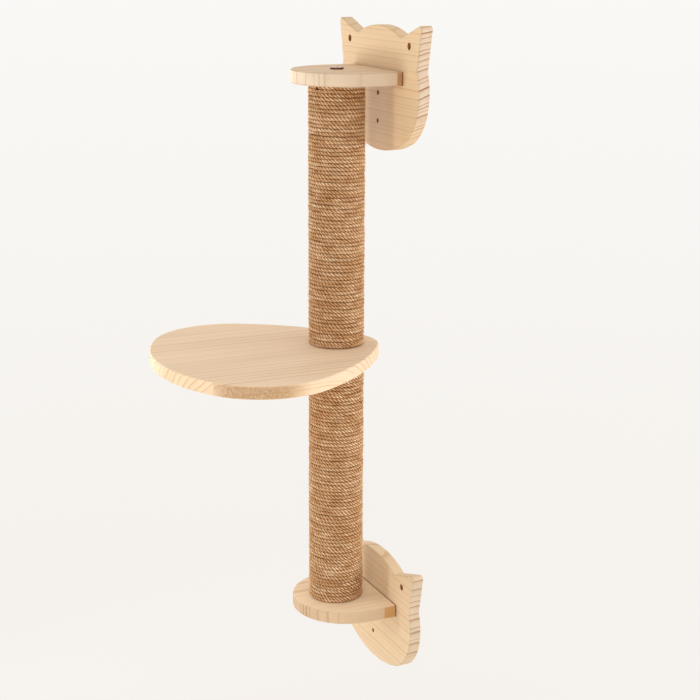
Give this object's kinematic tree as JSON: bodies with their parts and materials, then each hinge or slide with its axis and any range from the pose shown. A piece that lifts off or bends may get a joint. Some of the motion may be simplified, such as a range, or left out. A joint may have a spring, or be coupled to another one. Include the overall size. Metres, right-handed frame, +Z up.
{
  "type": "cat wall platform",
  "caption": "Wall-mounted cat climbing post with a rounded jumping board, rope-wound post sections and cat-head wall brackets in pine.",
  "frame": {"origin": "on the wall plane, midway between the two ear holes of the upper wall plate", "axes": "+Z up along the post, +Y into the wall, +X to the right seen from the room"},
  "size_m": [0.381, 0.376, 1.0314],
  "materials": {
    "pine_board": "clear satin varnish on sanded pine",
    "post_wood": "plain turned wood",
    "sisal_rope": "natural three-strand laid rope",
    "insert_metal": "zinc alloy, as cast",
    "zinc_steel": "bright zinc plate"
  },
  "bodies": {
    "frame": {"upper_wall_plate": "pine_board", "lower_wall_plate": "pine_board", "upper_shelf": "pine_board", "lower_shelf": "pine_board", "upper_post_core": "post_wood", "lower_post_core": "post_wood", "upper_rope_winding": "sisal_rope", "lower_rope_winding": "sisal_rope", "upper_post_top_insert": "insert_metal", "upper_post_bottom_insert": "insert_metal", "lower_post_top_insert": "insert_metal", "lower_post_bottom_insert": "insert_metal", "upper_shelf_screw_left": "zinc_steel", "upper_shelf_screw_right": "zinc_steel", "lower_shelf_screw_left": "zinc_steel", "lower_shelf_screw_right": "zinc_steel", "platform_stud": "zinc_steel", "top_bolt": "zinc_steel", "bottom_bolt": "zinc_steel"},
    "platform": {"platform_board": "pine_board"}
  },
  "joints": [
    {"name": "platform_swivel", "type": "hinge", "parent": "frame", "child": "platform", "pos_m": [0, -0.086, -0.468], "axis": [0, 0, 1], "range_deg": [-45, 45]}
  ]
}
